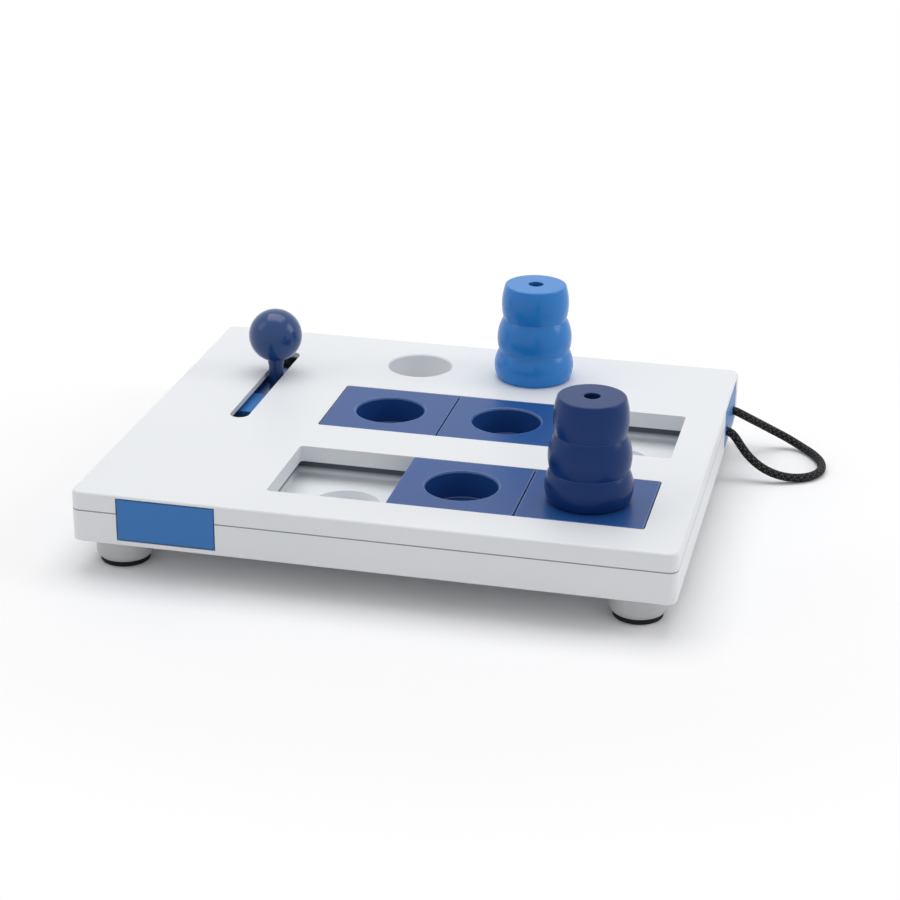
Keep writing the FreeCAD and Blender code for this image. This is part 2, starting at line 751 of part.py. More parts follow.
def make_lever_carriage():
    """Hollow block in the drawer's channel, with ribs and a socket that carries the lever's stem."""
    body = new_body("lever_carriage")
    place(body, lever_line, lever_place, 0)
    wall = size["drawer_wall"] * 2
    length = size["carriage_length"]
    pad_boxes(body, [(0, 0, drawer_width, length)], face_bottom, drawer_top)
    sketch = new_sketch(body, "XY_Plane", z=face_bottom)
    add_rectangle(sketch, 0, 0, drawer_width - wall, length - wall)
    skin_bottom = drawer_top - size["drawer_wall"]
    sink(body, sketch, skin_bottom - face_bottom, upwards=True)
    inside_skin = drawer_top - size["drawer_wall"] / 2
    seat = face_bottom + size["screw_head_height"]
    bore = size["stem_radius"] + size["snug_gap"]
    pad_rounds(body, [(0, 0, bore + size["socket_wall"])], seat, inside_skin)
    pad_boxes(body, [(0, 0, size["drawer_wall"], length - size["drawer_wall"])], seat, inside_skin)
    pad_boxes(body, [(0, 0, drawer_width - size["drawer_wall"], size["drawer_wall"])], seat, inside_skin)
    sink_rounds(body, [(0, 0, bore)], socket_bottom, drawer_top)
    sink_rounds(body, [(0, 0, screw_hole)], seat, socket_bottom)
    return body


def make_screw(name, length, x, y, z):
    """Round-headed screw, head down, with a cross cut in its head."""
    head_top = size["screw_head_height"]
    body = turned_body(name, [
        (0, 0),
        (size["screw_head_radius"], 0),
        (size["screw_head_radius"], head_top),
        (size["screw_radius"], head_top),
        (size["screw_radius"], head_top + length),
        (0, head_top + length),
    ])
    place(body, x, y, z)
    for across in ((size["cross_length"], size["cross_width"]), (size["cross_width"], size["cross_length"])):
        sketch = new_sketch(body, "XY_Plane")
        add_rectangle(sketch, 0, 0, *across)
        sink(body, sketch, size["cross_depth"], upwards=True)
    return body


def make_case_screws():
    """The screws that go up through the base into the cover's bosses."""
    group = doc.addObject("Part::Compound", "case_screws")
    group.Label = "case_screws"
    head_bottom = counterbore_top - size["screw_head_height"]
    group.Links = [make_screw(f"case_screw_{n}", size["case_screw_length"], x, y, head_bottom)
                   for n, (x, y) in enumerate(screw_places, start=1)]
    return group


def make_lever_drawer():
    """Long drawer: face, treat room in front, rear room, and a hollow block that the lever pushes."""
    body = new_body("lever_drawer")
    x = lever_line
    wall = size["drawer_wall"]
    inside = drawer_width - wall * 2
    room_floor = face_bottom + wall

    def span(low, high, width):
        return (x, (low + high) / 2, width, high - low)

    pad_boxes(body, [span(lever_drawer_front, lever_drawer_end, drawer_width)], face_bottom, drawer_top)
    pad_boxes(body, [span(board_front, lever_drawer_front, size["face_width"])], face_bottom, face_top)
    treat_room_end = lever_drawer_front + size["treat_room_length"]
    rooms = [
        span(lever_drawer_front, treat_room_end, inside),
        span(treat_room_end + wall, push_block_front, inside),
    ]
    sink_boxes(body, rooms, room_floor, drawer_top)
    pocket = (inside - wall) / 2
    pocket_middle = (push_block_front + lever_drawer_end) / 2
    sketch = new_sketch(body, "XY_Plane", z=face_bottom)
    for side in (-1, 1):
        add_rectangle(sketch, x + (pocket + wall) / 2 * side, pocket_middle, pocket,
                      size["push_block_length"] - wall * 2)
    sink(body, sketch, size["drawer_height"] - wall, upwards=True)
    soften(body, "Fillet", lambda edge: lies_at(edge, 1, board_front), size["face_edge"])
    return body


def make_rope_drawer():
    """Short drawer: face with two rope holes, a narrow room for the knots and a treat room behind it."""
    body = new_body("rope_drawer")
    y = rear_line
    wall = size["drawer_wall"]
    inside = drawer_width - wall * 2
    room_floor = face_bottom + wall

    def span(low, high, width):
        return ((low + high) / 2, y, high - low, width)

    pad_boxes(body, [span(rope_drawer_back, rope_face_back, drawer_width)], face_bottom, drawer_top)
    pad_boxes(body, [span(rope_face_back, board_right, size["face_width"])], face_bottom, face_top)
    knot_room_back = rope_face_back - size["knot_room_length"]
    rooms = [
        span(knot_room_back, rope_face_back, inside),
        span(rope_drawer_back + wall, knot_room_back - wall, inside),
    ]
    sink_boxes(body, rooms, room_floor, drawer_top)
    sketch = new_sketch(body, "YZ_Plane", z=board_right)
    for side in (-1, 1):
        add_circle(sketch, y + rope_hole_spread * side, size["rope_hole_height"], size["rope_hole_radius"])
    sink(body, sketch, size["face_thickness"])

    def on_face_outline(edge):
        return lies_at(edge, 0, board_right) and not isinstance(edge.Curve, Part.Circle)

    soften(body, "Fillet", on_face_outline, size["face_edge"])
    return body


def make_foot(name, x, y):
    """Turned foot with a short peg for the base and a socket for its rubber pad."""
    bottom = size["pad_thickness"]
    socket = size["pad_stud_radius"] + size["snug_gap"]
    socket_top = bottom + size["pad_stud_length"] + size["snug_gap"]
    peg_top = size["foot_height"] + size["peg_length"]
    body = turned_body(name, [
        (socket, bottom),
        (size["foot_tip_radius"], bottom),
        (size["foot_waist_radius"], size["foot_waist_height"]),
        (size["foot_radius"], size["foot_height"]),
        (size["peg_radius"], size["foot_height"]),
        (size["peg_radius"], peg_top),
        (0, peg_top),
        (0, socket_top),
        (socket, socket_top),
    ], {1: (size["foot_round_radius"], size["foot_round_height"])})
    place(body, x, y, 0)
    return body


def make_foot_pad(name, x, y):
    """Round rubber pad with a rounded lower edge and a stud that holds it in the foot."""
    top = size["pad_thickness"]
    stud_top = top + size["pad_stud_length"]
    edge = size["pad_edge"]
    midway = edge * (1 - math.sqrt(0.5))
    body = turned_body(name, [
        (0, 0),
        (size["pad_radius"] - edge, 0),
        (size["pad_radius"], edge),
        (size["pad_radius"], top),
        (size["pad_stud_radius"], top),
        (size["pad_stud_radius"], stud_top),
        (0, stud_top),
    ], {1: (size["pad_radius"] - midway, midway)})
    place(body, x, y, 0)
    return body


def route_path(points, share=0.45):
    """Straight runs joined by tangent arcs. Each arc is as large as the shorter of its two runs allows."""
    corners = [Vector(*point) for point in points]
    edges = []
    radii = []
    start = corners[0]
    for before, corner, after in zip(corners, corners[1:], corners[2:]):
        incoming = (corner - before).normalize()
        outgoing = (after - corner).normalize()
        half_turn = incoming.getAngle(outgoing) / 2
        reach = share * min((corner - before).Length, (after - corner).Length)
        radius = reach / math.tan(half_turn)
        radii.append(radius)
        arc_start = corner - incoming * reach
        arc_end = corner + outgoing * reach
        towards_centre = (outgoing - incoming).normalize()
        middle = corner + towards_centre * (radius / math.cos(half_turn) - radius)
        edges.append(Part.LineSegment(start, arc_start).toShape())
        edges.append(Part.Arc(arc_start, middle, arc_end).toShape())
        start = arc_end
    edges.append(Part.LineSegment(start, corners[-1]).toShape())
    return Part.Wire(edges), radii


def make_pull_rope():
    """Rope: one round tube along its route."""
    path, radii = route_path(ROPE_ROUTE)
    radius = size["rope_radius"].number
    first = Vector(*ROPE_ROUTE[0])
    towards = Vector(*ROPE_ROUTE[1]) - first
    section = Part.Wire(Part.makeCircle(radius, first, towards))
    tube = path.makePipeShell([section], True, False)
    expected = math.pi * radius ** 2 * path.Length
    print("rope length", round(path.Length, 2), "radii", [round(value, 1) for value in radii])
    print("rope volume over section times length", round(tube.Volume / expected, 5))
    rope = doc.addObject("Part::Feature", "pull_rope")
    rope.Label = "pull_rope"
    rope.Shape = tube
    return rope


def make_rope_knots():
    """The two knots behind the drawer's face, each a round barrel with a flat mouth and a short tail."""
    bottom = size["knot_tail"]
    tail = bottom + size["knot_length"]
    radius = size["rope_radius"]
    side_radius = size["knot_radius"]
    rounding = size["knot_rounding"]
    midway = rounding * (1 - math.sqrt(0.5))
    mouth_radius = side_radius - rounding
    knots = []
    mouth = rope_face_back - size["knot_face_gap"]
    for n, side in enumerate((-1, 1), start=1):
        body = turned_body(f"knot_{n}", [
            (0, tail),
            (mouth_radius, tail),
            (side_radius, tail - rounding),
            (side_radius, bottom + rounding),
            (mouth_radius, bottom),
            (radius, bottom),
            (radius, 0),
            (0, 0),
        ], {
            1: (side_radius - midway, tail - midway),
            3: (side_radius - midway, bottom + midway),
        })
        body.Placement = Placement(Vector(), Rotation(Vector(0, 1, 0), 90))
        place(body, mouth - tail, rear_line + rope_hole_spread * side, size["rope_hole_height"])
        knots.append(body)
    group = doc.addObject("Part::Compound", "rope_knots")
    group.Label = "rope_knots"
    group.Links = knots
    return group


pieces = [make_top_cover(), make_base_shell()]
pieces += [make_tray(f"{end}_tray", line) for end, line in zip(("front", "rear"), window_lines)]
tile_places = {
    "rear_left_tile": (recess_places[0], window_lines[1]),
    "rear_middle_tile": (recess_places[0] + tile_step, window_lines[1]),
    "front_middle_tile": (recess_places[2] - tile_step, window_lines[0]),
    "front_right_tile": (recess_places[2], window_lines[0]),
}
pieces += [make_tile(name, x, line) for name, (x, line) in tile_places.items()]
pieces.append(make_cone("light_cone", right_cup, rear_line))
pieces.append(make_cone("dark_cone", *tile_places["front_right_tile"]))
pieces += [make_lever_knob(), make_lever_stem(), make_lever_carriage()]
pieces.append(make_screw("lever_screw", size["lever_screw_length"], lever_line, lever_place,
                         face_bottom))
pieces += [make_lever_drawer(), make_rope_drawer(), make_pull_rope(), make_rope_knots()]
for corner, spot in foot_places.items():
    pieces.append(make_foot(f"foot_{corner}", *spot))
    pieces.append(make_foot_pad(f"foot_pad_{corner}", *spot))
pieces.append(make_case_screws())

doc.recompute()
for thing in doc.Objects:
    if "Invalid" in thing.State or "Error" in thing.State:
        raise ValueError(f"{thing.Name} could not be built: {thing.State}")
for piece in pieces:
    if piece.Shape.isNull() or not piece.Shape.isValid():
        raise ValueError(f"{piece.Label} has no valid shape")

os.makedirs("parts", exist_ok=True)
for piece in pieces:
    piece.Shape.exportStep(f"parts/{piece.Label}.step")
    print(piece.Label, len(piece.Shape.Solids), round(piece.Shape.Volume / 1000, 2), "cm3")
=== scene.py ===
import json
import math
import bpy
import numpy as np
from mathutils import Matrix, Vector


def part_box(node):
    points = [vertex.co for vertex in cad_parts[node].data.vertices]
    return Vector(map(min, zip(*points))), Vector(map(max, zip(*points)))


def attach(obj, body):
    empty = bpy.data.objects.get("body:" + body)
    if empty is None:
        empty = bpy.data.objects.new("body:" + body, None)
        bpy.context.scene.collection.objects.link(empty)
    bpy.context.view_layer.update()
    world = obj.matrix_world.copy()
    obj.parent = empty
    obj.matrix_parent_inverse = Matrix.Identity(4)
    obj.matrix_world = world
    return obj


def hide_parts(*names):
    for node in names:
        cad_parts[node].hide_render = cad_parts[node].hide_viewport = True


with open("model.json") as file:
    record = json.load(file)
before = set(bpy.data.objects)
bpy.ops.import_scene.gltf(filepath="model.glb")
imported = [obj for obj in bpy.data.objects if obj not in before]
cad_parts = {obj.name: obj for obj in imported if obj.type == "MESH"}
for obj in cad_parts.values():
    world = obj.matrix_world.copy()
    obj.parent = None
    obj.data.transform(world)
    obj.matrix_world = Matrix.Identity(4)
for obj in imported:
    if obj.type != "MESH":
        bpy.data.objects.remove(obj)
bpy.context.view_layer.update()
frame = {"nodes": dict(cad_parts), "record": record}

millimetre = 0.001
print("model loaded:", len(frame["nodes"]), "nodes")

cameraSetup = {
    "place": (0.21375, -0.89368, 0.40485),   # metres, above the floor
    "turnLeft": 12.83,                       # degrees from straight along +Y
    "lookDown": 22.52,
    "roll": -0.63,
    "lens": 90.34,                           # millimetres, as the sensor's width is
    "sensorWidth": 36,
    "seesFromTo": (0.01, 50),                # metres
}


# forward x right gives down; the roll turns both about the view line
def makeCamera():
    turn, tilt, roll = (math.radians(cameraSetup[k]) for k in ("turnLeft", "lookDown", "roll"))
    right = np.array([math.cos(turn), math.sin(turn), 0.0])
    forward = np.array([-math.sin(turn) * math.cos(tilt), math.cos(turn) * math.cos(tilt), -math.sin(tilt)])
    down = np.cross(forward, right)
    rolledRight = right * math.cos(roll) + down * math.sin(roll)
    rolledDown = down * math.cos(roll) - right * math.sin(roll)
    camera = bpy.data.objects.new("camera", bpy.data.cameras.new("camera"))
    bpy.context.scene.collection.objects.link(camera)
    camera.data.lens = cameraSetup["lens"]
    camera.data.sensor_width = cameraSetup["sensorWidth"]
    camera.data.clip_start, camera.data.clip_end = cameraSetup["seesFromTo"]
    matrix = np.identity(4)
    matrix[:3, 0] = rolledRight
    matrix[:3, 1] = -rolledDown
    matrix[:3, 2] = -forward
    matrix[:3, 3] = cameraSetup["place"]
    camera.matrix_world = matrix.T.tolist()
    bpy.context.scene.camera = camera


makeCamera()
bpy.context.scene.view_settings.view_transform = "Standard"


# sRGB 0..255 to linear: ((s + 0.055) / 1.055) to the power 2.4
def linear(red, green, blue):
    s = np.array([red, green, blue]) / 255
    values = np.where(s > 0.04045, ((s + 0.055) / 1.055) ** 2.4, s / 12.92)
    return (*values.tolist(), 1.0)


# Adds a node and sets its inputs, by name or by number
def addNode(tree, kind, inputs=None, **settings):
    node = tree.nodes.new(kind)
    for name, value in settings.items():
        setattr(node, name, value)
    for name, value in (inputs or {}).items():
        node.inputs[name].default_value = value
    return node


# 1 near a height, falling to 0 at the line's half width from it, on the shell's outer sides and corners only
def seamMask(tree, place, line):
    join = tree.links.new
    parts = addNode(tree, "ShaderNodeSeparateXYZ")
    join(place.outputs["Object"], parts.inputs["Vector"])
    side = addNode(tree, "ShaderNodeMath", operation="MAXIMUM")
    reachSum = addNode(tree, "ShaderNodeMath", operation="ADD")
    for k, (axis, reach) in enumerate(zip("XY", line["sides"])):
        away = addNode(tree, "ShaderNodeMath", operation="ABSOLUTE")
        past = addNode(tree, "ShaderNodeMath", {1: reach * millimetre}, operation="GREATER_THAN")
        join(parts.outputs[axis], away.inputs[0])
        join(away.outputs["Value"], past.inputs[0])
        join(away.outputs["Value"], reachSum.inputs[k])
        join(past.outputs["Value"], side.inputs[k])
    corner = addNode(tree, "ShaderNodeMath", {1: line["corner"] * millimetre}, operation="GREATER_THAN")
    join(reachSum.outputs["Value"], corner.inputs[0])
    outside = addNode(tree, "ShaderNodeMath", operation="MAXIMUM")
    join(side.outputs["Value"], outside.inputs[0])
    join(corner.outputs["Value"], outside.inputs[1])
    above = addNode(tree, "ShaderNodeMath", {1: line["height"] * millimetre}, operation="SUBTRACT")
    join(parts.outputs["Z"], above.inputs[0])
    distance = addNode(tree, "ShaderNodeMath", operation="ABSOLUTE")
    join(above.outputs["Value"], distance.inputs[0])
    near = addNode(tree, "ShaderNodeMapRange", {
        "From Min": 0.5 * line["halfWidth"] * millimetre, "From Max": line["halfWidth"] * millimetre,
        "To Min": 1.0, "To Max": 0.0})
    join(distance.outputs["Value"], near.inputs["Value"])
    mask = addNode(tree, "ShaderNodeMath", operation="MULTIPLY")
    join(near.outputs["Result"], mask.inputs[0])
    join(outside.outputs["Value"], mask.inputs[1])
    return mask.outputs["Value"]


# 0 below one height and 1 above another
def heightMask(tree, place, band):
    parts = addNode(tree, "ShaderNodeSeparateXYZ")
    tree.links.new(place.outputs["Object"], parts.inputs["Vector"])
    rise = addNode(tree, "ShaderNodeMapRange", {
        "From Min": band["from"] * millimetre, "From Max": band["to"] * millimetre})
    tree.links.new(parts.outputs["Z"], rise.inputs["Value"])
    return rise.outputs["Result"]


# A moulded finish: cloudy colour, a fine grain in the bump, softened and slightly paler edges (wear, and on
# the tiles a painted highlight), and a darker groove line at the parting joint on the shell, and a painted
# shade as a darker upper band on the trays
def mouldedMaterial(name, look):
    material = bpy.data.materials.new(name)
    material.use_nodes = True
    tree = material.node_tree
    shader = tree.nodes["Principled BSDF"]
    join = tree.links.new
    shader.inputs["Specular IOR Level"].default_value = look["gloss"]
    shader.inputs["Coat Weight"].default_value = look["coat"]
    shader.inputs["Coat Roughness"].default_value = look["coatRough"]
    place = addNode(tree, "ShaderNodeTexCoord")

    cloud = addNode(tree, "ShaderNodeTexNoise", {"Scale": look["cloudScale"], "Detail": look["cloudDetail"]})
    join(place.outputs["Object"], cloud.inputs["Vector"])
    tone = addNode(tree, "ShaderNodeMix", data_type="RGBA")
    tone.inputs["A"].default_value = linear(*look["dark"])
    tone.inputs["B"].default_value = linear(*look["light"])
    join(cloud.outputs["Fac"], tone.inputs["Factor"])

    rounded = addNode(tree, "ShaderNodeBevel", {"Radius": look["edge"] * millimetre}, samples=4)
    surface = addNode(tree, "ShaderNodeNewGeometry")
    match = addNode(tree, "ShaderNodeVectorMath", operation="DOT_PRODUCT")
    join(rounded.outputs["Normal"], match.inputs[0])
    join(surface.outputs["True Normal"], match.inputs[1])
    # paler edges where the rounded normal leans from the flat one: wear on most pieces, a painted highlight
    # on the tiles
    wearAndHighlight = addNode(tree, "ShaderNodeMapRange", {
        "From Min": look["wearAndHighlightFrom"], "From Max": look["wearAndHighlightTo"], "To Max": look["wearAndHighlightShare"]})
    join(match.outputs["Value"], wearAndHighlight.inputs["Value"])
    color = addNode(tree, "ShaderNodeMix", data_type="RGBA")
    color.inputs["B"].default_value = linear(*look["wearAndHighlight"])
    join(tone.outputs["Result"], color.inputs["A"])
    join(wearAndHighlight.outputs["Result"], color.inputs["Factor"])
    shown = color.outputs["Result"]
    groove = seamMask(tree, place, look["seam"]) if "seam" in look else None
    # on the trays the band is a painted shade at the top of the fences; on the shell it is the parting line's
    # darker groove
    band = heightMask(tree, place, look["paintedShadeBand"]) if "paintedShadeBand" in look else groove
    if band is not None:
        lineAndShade = addNode(tree, "ShaderNodeMix", data_type="RGBA")
        lineAndShade.inputs["B"].default_value = linear(*look["lineAndShade"])
        join(shown, lineAndShade.inputs["A"])
        join(band, lineAndShade.inputs["Factor"])
        shown = lineAndShade.outputs["Result"]
    join(shown, shader.inputs["Base Color"])

    grain = addNode(tree, "ShaderNodeTexNoise", {"Scale": look["grainScale"], "Detail": look["grainDetail"]})
    join(place.outputs["Object"], grain.inputs["Vector"])
    bump = addNode(tree, "ShaderNodeBump", {
        "Strength": look["grain"], "Distance": look["grainDepth"] * millimetre})
    join(grain.outputs["Fac"], bump.inputs["Height"])
    join(rounded.outputs["Normal"], bump.inputs["Normal"])
    normal = bump.outputs["Normal"]
    if groove is not None:
        line = look["seam"]
        dip = addNode(tree, "ShaderNodeBump", {
            "Strength": line["strength"], "Distance": line["depth"] * millimetre}, invert=True)
        join(groove, dip.inputs["Height"])
        join(normal, dip.inputs["Normal"])
        normal = dip.outputs["Normal"]
    join(normal, shader.inputs["Normal"])
    rough = addNode(tree, "ShaderNodeMapRange", {
        "To Min": look["rough"] - look["roughSpread"], "To Max": look["rough"] + look["roughSpread"]})
    join(cloud.outputs["Fac"], rough.inputs["Value"])
    join(rough.outputs["Result"], shader.inputs["Roughness"])
    return material


# What every moulded piece shares unless its own look says otherwise
plastic = {
    "gloss": 0.5,
    "coat": 0.0,
    "coatRough": 0.1,
    "roughSpread": 0.04,     # the roughness varies this much either way
    "cloudScale": 22.0,
    "cloudDetail": 3.0,
    "edge": 0.35,            # millimetres of rounding at an edge
    "wearAndHighlightShare": 0.5,             # how much of the paler edge colour an edge takes: wear, and on the tiles a painted highlight
    "wearAndHighlightFrom": 0.99,        # cosine between the rounded and the flat normal where the paler edge starts
    "wearAndHighlightTo": 0.75,          # and where it is full
    "grain": 0.25,
    "grainScale": 1400.0,
    "grainDetail": 2.0,
    "grainDepth": 0.05,      # millimetres
}
# The joint between cover and base, in millimetres
partingLine = {
    "height": 27.0,
    "halfWidth": 0.34,
    "sides": (124.6, 105.1),     # it shows past this X or this Y,
    "corner": 225.4,             # and where the two add up to more than this, round a corner
    "depth": 0.2,
    "strength": 0.7,
}
# Heights in millimetres between which the trays' fences take a painted shade, darkening towards the gap in
# which the tiles run, under the window rims
slideTrackShade = {"from": 22.3, "to": 24.4}
looks = {
    "white_shell": dict(plastic, dark=(226, 229, 232), light=(232, 234, 237), wearAndHighlight=(241, 243, 245),
                        rough=0.46, seam=partingLine, lineAndShade=(148, 150, 154)),
    # the trays' marked colour is a painted shade at the top of the fences, under the window rims
    "tray_grey": dict(plastic, dark=(235, 240, 243), light=(240, 244, 247), wearAndHighlight=(244, 246, 248), rough=0.5,
                      paintedShadeBand=slideTrackShade, lineAndShade=(76, 83, 92)),
    # the tiles' pale edge colour, wide and at full strength, is a painted highlight along the cup mouths and
    # tile edges
    "tile_navy": dict(plastic, dark=(30, 73, 136), light=(34, 78, 142), wearAndHighlight=(166, 190, 230), rough=0.34,
                      gloss=0.3, edge=0.9, wearAndHighlightShare=1.0),
    "cone_light_blue": dict(plastic, dark=(30, 122, 200), light=(35, 128, 206), wearAndHighlight=(112, 172, 230),
                            rough=0.24, gloss=0.38, edge=0.6, wearAndHighlightShare=0.8),
    "cone_dark_blue": dict(plastic, dark=(15, 50, 106), light=(18, 54, 112), wearAndHighlight=(78, 108, 162), rough=0.24,
                           gloss=0.18, edge=0.6, wearAndHighlightShare=0.8),
    "lever_navy": dict(plastic, dark=(24, 62, 116), light=(27, 66, 122), wearAndHighlight=(58, 92, 146), rough=0.22,
                       gloss=0.35, coat=0.15),
    "drawer_blue": dict(plastic, dark=(52, 115, 181), light=(56, 120, 187), wearAndHighlight=(104, 156, 212), rough=0.42,
                        gloss=0.3),
    "foot_grey": dict(plastic, dark=(186, 187, 188), light=(193, 194, 195), wearAndHighlight=(212, 213, 214), rough=0.45),
    "pad_rubber": dict(plastic, dark=(16, 16, 17), light=(22, 22, 23), wearAndHighlight=(48, 48, 50), rough=0.75,
                       grain=0.6, grainScale=900.0, gloss=0.3),
}
screwLook = dict(plastic, dark=(150, 151, 153), light=(184, 185, 187), wearAndHighlight=(215, 216, 218), rough=0.34,
                 cloudScale=420.0)


# Zinc plating: a bright metal with a fine cloudy grain
def screwMaterial(name, look):
    material = mouldedMaterial(name, look)
    material.node_tree.nodes["Principled BSDF"].inputs["Metallic"].default_value = 1.0
    return material


# Braided cord: nearly black fibres, with grey flecks as strong as the "tracer" attribute says: grey tracer
# yarn, and a painted highlight on the crowns of its strands
def ropeMaterial(name, look):
    material = bpy.data.materials.new(name)
    material.use_nodes = True
    tree = material.node_tree
    shader = tree.nodes["Principled BSDF"]
    join = tree.links.new
    shader.inputs["Roughness"].default_value = look["rough"]
    shader.inputs["Specular IOR Level"].default_value = look["gloss"]
    tracerAndHighlightShare = addNode(tree, "ShaderNodeAttribute", attribute_name="tracerAndHighlight")
    place = addNode(tree, "ShaderNodeTexCoord")
    fibre = addNode(tree, "ShaderNodeTexNoise", {"Scale": look["fibreScale"], "Detail": look["fibreDetail"]})
    join(place.outputs["Object"], fibre.inputs["Vector"])
    dull = addNode(tree, "ShaderNodeMath", operation="MULTIPLY")
    join(tracerAndHighlightShare.outputs["Fac"], dull.inputs[0])
    join(fibre.outputs["Fac"], dull.inputs[1])
    color = addNode(tree, "ShaderNodeMix", data_type="RGBA")
    color.inputs["A"].default_value = linear(*look["black"])
    color.inputs["B"].default_value = linear(*look["fleck"])
    join(dull.outputs["Value"], color.inputs["Factor"])
    join(color.outputs["Result"], shader.inputs["Base Color"])
    bump = addNode(tree, "ShaderNodeBump", {
        "Strength": look["fibreBump"], "Distance": look["fibreDepth"] * millimetre})
    join(fibre.outputs["Fac"], bump.inputs["Height"])
    join(bump.outputs["Normal"], shader.inputs["Normal"])
    return material


ropeLook = {
    "black": (5, 5, 6),
    # fleck colour: grey tracer yarn, and a painted highlight on the strands' crowns
    "fleck": (196, 196, 200),
    "rough": 0.6,
    "gloss": 0.2,
    "fibreScale": 2600.0,
    "fibreDetail": 3.0,
    "fibreBump": 0.5,
    "fibreDepth": 0.08,      # millimetres
}
materials = {slot: mouldedMaterial(slot, look) for slot, look in looks.items()}
materials["screw_steel"] = screwMaterial("screw_steel", screwLook)
materials["rope_black"] = ropeMaterial("rope_black", ropeLook)
for part in frame["record"]["subparts"]:
    node = frame["nodes"][part["node"]]
    node.data.materials.clear()
    node.data.materials.append(materials[part["material_slot"]])
print("materials:", len(materials))


# A closed grid surface: rings of points joined to the next ring, with a fan closing each end
def ringSurface(name, rings, slotName):
    count, around = rings.shape[:2]
    row, column = np.meshgrid(np.arange(count - 1), np.arange(around), indexing="ij")
    here = row * around + column
    beside = row * around + (column + 1) % around
    quads = np.stack([here, here + around, beside + around, beside], axis=-1).reshape(-1, 4)
    points = np.concatenate([rings.reshape(-1, 3), rings[0].mean(axis=0)[None], rings[-1].mean(axis=0)[None]])
    edge = np.arange(around)
    after = (edge + 1) % around
    startFan = np.stack([edge, after, np.full(around, count * around)], axis=-1)
    last = (count - 1) * around
    endFan = np.stack([last + after, last + edge, np.full(around, count * around + 1)], axis=-1)
    mesh = bpy.data.meshes.new(name)
    mesh.from_pydata(points.tolist(), [], quads.tolist() + startFan.tolist() + endFan.tolist())
    mesh.polygons.foreach_set("use_smooth", np.ones(len(mesh.polygons), dtype=bool))
    mesh.materials.append(materials[slotName])
    mesh.update()
    piece = bpy.data.objects.new(name, mesh)
    bpy.context.scene.collection.objects.link(piece)
    return piece


# Lengths in millimetres
rope = {
    "diameter": 4.0,
    "length": 136.3,
    "carriers": 12,              # strands each way round
    "pitch": 12.0,               # one strand's whole turn, along the cord
    "relief": 0.3,               # height of a strand over the valleys
    "crossing": 0.4,             # how far a strand dips where it passes under, of its height
    "tracerAndHighlightStrands": (1, 4, 7, 10),    # the strands with the grey yarn, whose crowns also carry a painted highlight
    "crownFrom": 0.6,            # a tracer's fleck, grey yarn and painted highlight, shows above this share of a strand's height
    "ringStart": (0.6, 0.0, 0.8),    # a direction that the cord never runs along
    "around": 80,
    "ringsPerMillimetre": 8.0,
    "pointsPerRun": 24,
}
# From one knot to the other: out of the face, down to the floor, round, and back up
ropeRoute = [
    (0.1219, 0.0609, 0.0220),
    (0.1253, 0.0609, 0.0220),
    (0.1286, 0.0604, 0.0201),
    (0.1316, 0.0596, 0.0160),
    (0.1358, 0.0582, 0.0113),
    (0.1420, 0.0571, 0.0068),
    (0.1498, 0.0573, 0.0036),
    (0.1584, 0.0602, 0.0020),
    (0.1652, 0.0650, 0.0020),
    (0.1684, 0.0730, 0.0020),
    (0.1674, 0.0822, 0.0020),
    (0.1632, 0.0908, 0.0020),
    (0.1570, 0.0982, 0.0022),
    (0.1500, 0.1006, 0.0050),
    (0.1430, 0.0990, 0.0088),
    (0.1376, 0.0950, 0.0130),
    (0.1330, 0.0903, 0.0170),
    (0.1289, 0.0873, 0.0202),
    (0.1253, 0.0865, 0.0220),
    (0.1219, 0.0865, 0.0220),
]


# The points of the route's smooth line, as Blender works them out for a curve with no bevel
def routePoints():
    curve = bpy.data.curves.new("ropeRoute", "CURVE")
    curve.dimensions = "3D"
    curve.resolution_u = rope["pointsPerRun"]
    spline = curve.splines.new("NURBS")
    spline.points.add(len(ropeRoute) - 1)
    for point, place in zip(spline.points, ropeRoute):
        point.co = (*place, 1.0)
    spline.order_u = 3
    spline.use_endpoint_u = True
    guide = bpy.data.objects.new("ropeGuide", curve)
    bpy.context.scene.collection.objects.link(guide)
    mesh = bpy.data.meshes.new_from_object(guide)
    points = np.array([vertex.co for vertex in mesh.vertices])
    bpy.data.objects.remove(guide)
    bpy.data.meshes.remove(mesh)
    bpy.data.curves.remove(curve)
    return points


# Height of the braid, 0 to 1: two families of strands, a = n(v + u) and b = n(v - u), each a round bump
# across its own width that rises and dips as it passes over and under the other; the higher one shows
def braidHeight(u, v, strands):
    a, b = strands * (v + u), strands * (v - u)
    bumpA = np.sqrt(np.clip(1 - (2 * (a % 1) - 1) ** 2, 0, 1))
    bumpB = np.sqrt(np.clip(1 - (2 * (b % 1) - 1) ** 2, 0, 1))
    wave = np.sin(np.pi * (a - b) / 2) * np.sin(np.pi * (a + b) / 2)
    mean, swing = 1 - rope["crossing"], rope["crossing"] * wave
    highA, highB = bumpA * (mean + swing), bumpB * (mean - swing)
    carrier = np.where(highA > highB, np.floor(a), np.floor(b)) % strands
    return np.maximum(highA, highB), carrier


# Writes how much of the grey fleck each point shows: a tracer's crowns, where its height is near the top,
# as grey yarn and a painted highlight, and nothing on the two end centres
def paintTracerHighlights(piece, height, carrier):
    crown = np.clip((height - rope["crownFrom"]) / (1 - rope["crownFrom"]), 0, 1)
    shown = crown * np.isin(carrier.astype(int), rope["tracerAndHighlightStrands"])
    values = np.concatenate([shown.ravel(), [0.0, 0.0]]).astype(np.float32)
    attribute = piece.data.attributes.new("tracerAndHighlight", "FLOAT", "POINT")
    attribute.data.foreach_set("value", values)


